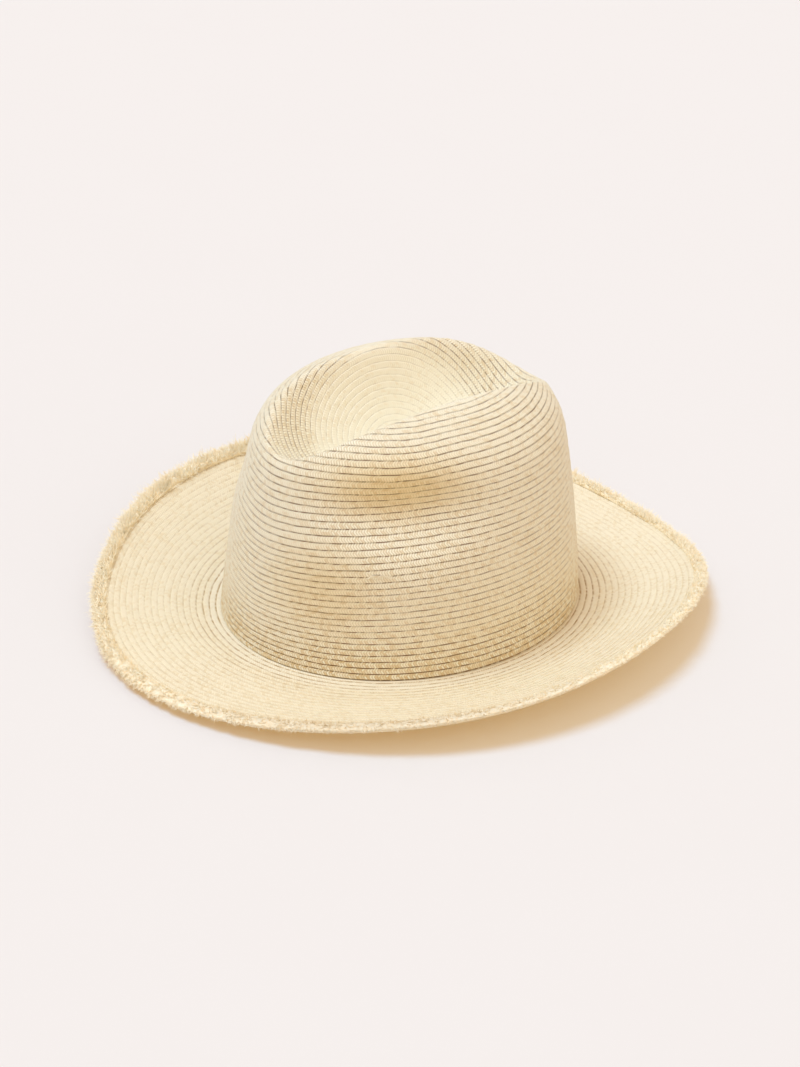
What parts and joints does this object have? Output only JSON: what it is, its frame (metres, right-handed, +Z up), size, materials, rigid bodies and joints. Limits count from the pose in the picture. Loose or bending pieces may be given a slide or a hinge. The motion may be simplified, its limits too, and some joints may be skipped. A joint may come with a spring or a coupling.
{
  "type": "straw sun hat",
  "caption": "Straw braid hat with a creased crown, a brim swept up at the sides, a frayed edge, and a sweatband with a sliding size tape.",
  "frame": {"origin": "middle of the hat on the surface that it stands on, under the foot of the crown", "axes": "+Z up, -Y to the hat's front, +X to the wearer's left"},
  "size_m": [0.3074, 0.3555, 0.1345],
  "materials": {
    "straw_braid": "matt sewn paper-straw braid, cream to tan",
    "frayed_straw": "loose frayed straw fibres",
    "ribbon": "ribbed grosgrain ribbon",
    "loop_tape": "brushed loop pile",
    "hook_tape": "woven tape with a hook face",
    "label_cloth": "plain woven label, bare"
  },
  "bodies": {
    "hat": {"crown_upper": "straw_braid", "crown_lower": "straw_braid", "brim": "straw_braid", "fringe": "frayed_straw", "sweatband": "ribbon", "loop_patch": "loop_tape"},
    "size_tape": {"hook_tape": "hook_tape"},
    "label": {"care_label": "label_cloth"}
  },
  "joints": [
    {"name": "tape_slide", "type": "hinge", "parent": "hat", "child": "size_tape", "pos_m": [0, 0.03245, 0.0091], "axis": [0, 0, -1], "range_deg": [0, 11]},
    {"name": "label_swing", "type": "hinge", "parent": "hat", "child": "label", "pos_m": [0.07788, -0.00165, 0.02799], "axis": [0, 1, 0], "range_deg": [0, 100]}
  ]
}
